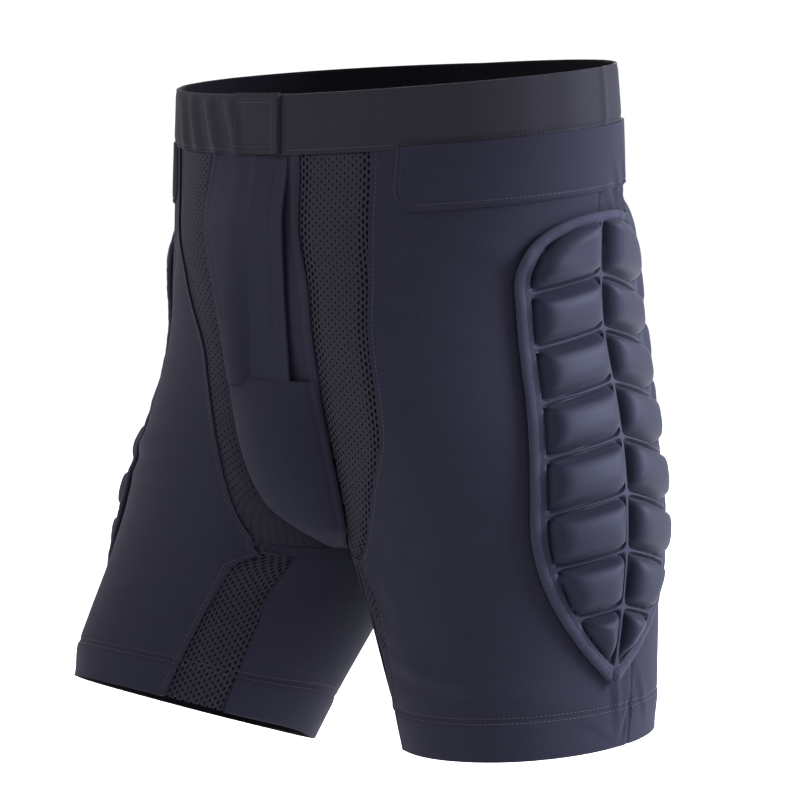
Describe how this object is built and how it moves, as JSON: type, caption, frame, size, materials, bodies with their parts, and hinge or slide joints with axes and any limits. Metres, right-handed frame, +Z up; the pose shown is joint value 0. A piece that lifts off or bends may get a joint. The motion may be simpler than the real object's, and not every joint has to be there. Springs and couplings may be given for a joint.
{
  "type": "padded impact shorts",
  "caption": "Stretch shorts with a wide elastic waist, fly, mesh inserts and moulded foam pads with chevron lugs on hips, seat and tailbone.",
  "frame": {"origin": "centre of the waist opening", "axes": "+Z up, -Y the way the wearer faces, +X the wearer's left"},
  "size_m": [0.4364, 0.3296, 0.4979],
  "materials": {
    "stretch_knit": "matt fine knit",
    "open_mesh": "open mesh knit",
    "elastic_band": "matt woven elastic",
    "moulded_padding": "foam under brushed knit",
    "rolled_binding": "rolled knit binding"
  },
  "bodies": {
    "garment": {"crotch_tape": "stretch_knit", "fly_cup": "stretch_knit", "fly_panel": "stretch_knit", "fly_underlap": "stretch_knit", "left_crotch_gusset": "open_mesh", "left_front_mesh": "open_mesh", "left_hem_facing": "stretch_knit", "left_hip_binding": "rolled_binding", "left_hip_lining": "open_mesh", "left_hip_pad": "moulded_padding", "left_inner_mesh": "open_mesh", "left_inner_panel": "stretch_knit", "left_leg_panel": "stretch_knit", "left_seat_binding": "rolled_binding", "left_seat_pad": "moulded_padding", "left_seat_panel": "stretch_knit", "left_waist_pad": "stretch_knit", "right_crotch_gusset": "open_mesh", "right_front_mesh": "open_mesh", "right_hem_facing": "stretch_knit", "right_hip_binding": "rolled_binding", "right_hip_lining": "open_mesh", "right_hip_pad": "moulded_padding", "right_inner_mesh": "open_mesh", "right_inner_panel": "stretch_knit", "right_leg_panel": "stretch_knit", "right_seat_binding": "rolled_binding", "right_seat_pad": "moulded_padding", "right_seat_panel": "stretch_knit", "right_waist_pad": "stretch_knit", "tailbone_pad": "moulded_padding", "waistband": "elastic_band", "waistband_tab": "elastic_band"},
    "fly": {"fly_flap": "stretch_knit"}
  },
  "joints": [
    {"name": "fly_hinge", "type": "hinge", "parent": "garment", "child": "fly", "pos_m": [-0.024, -0.1275, -0.12875], "axis": [0.0535, -0.1004, -0.9935], "range_deg": [0, 40], "stiffness_Nm_per_rad": 0.02}
  ]
}
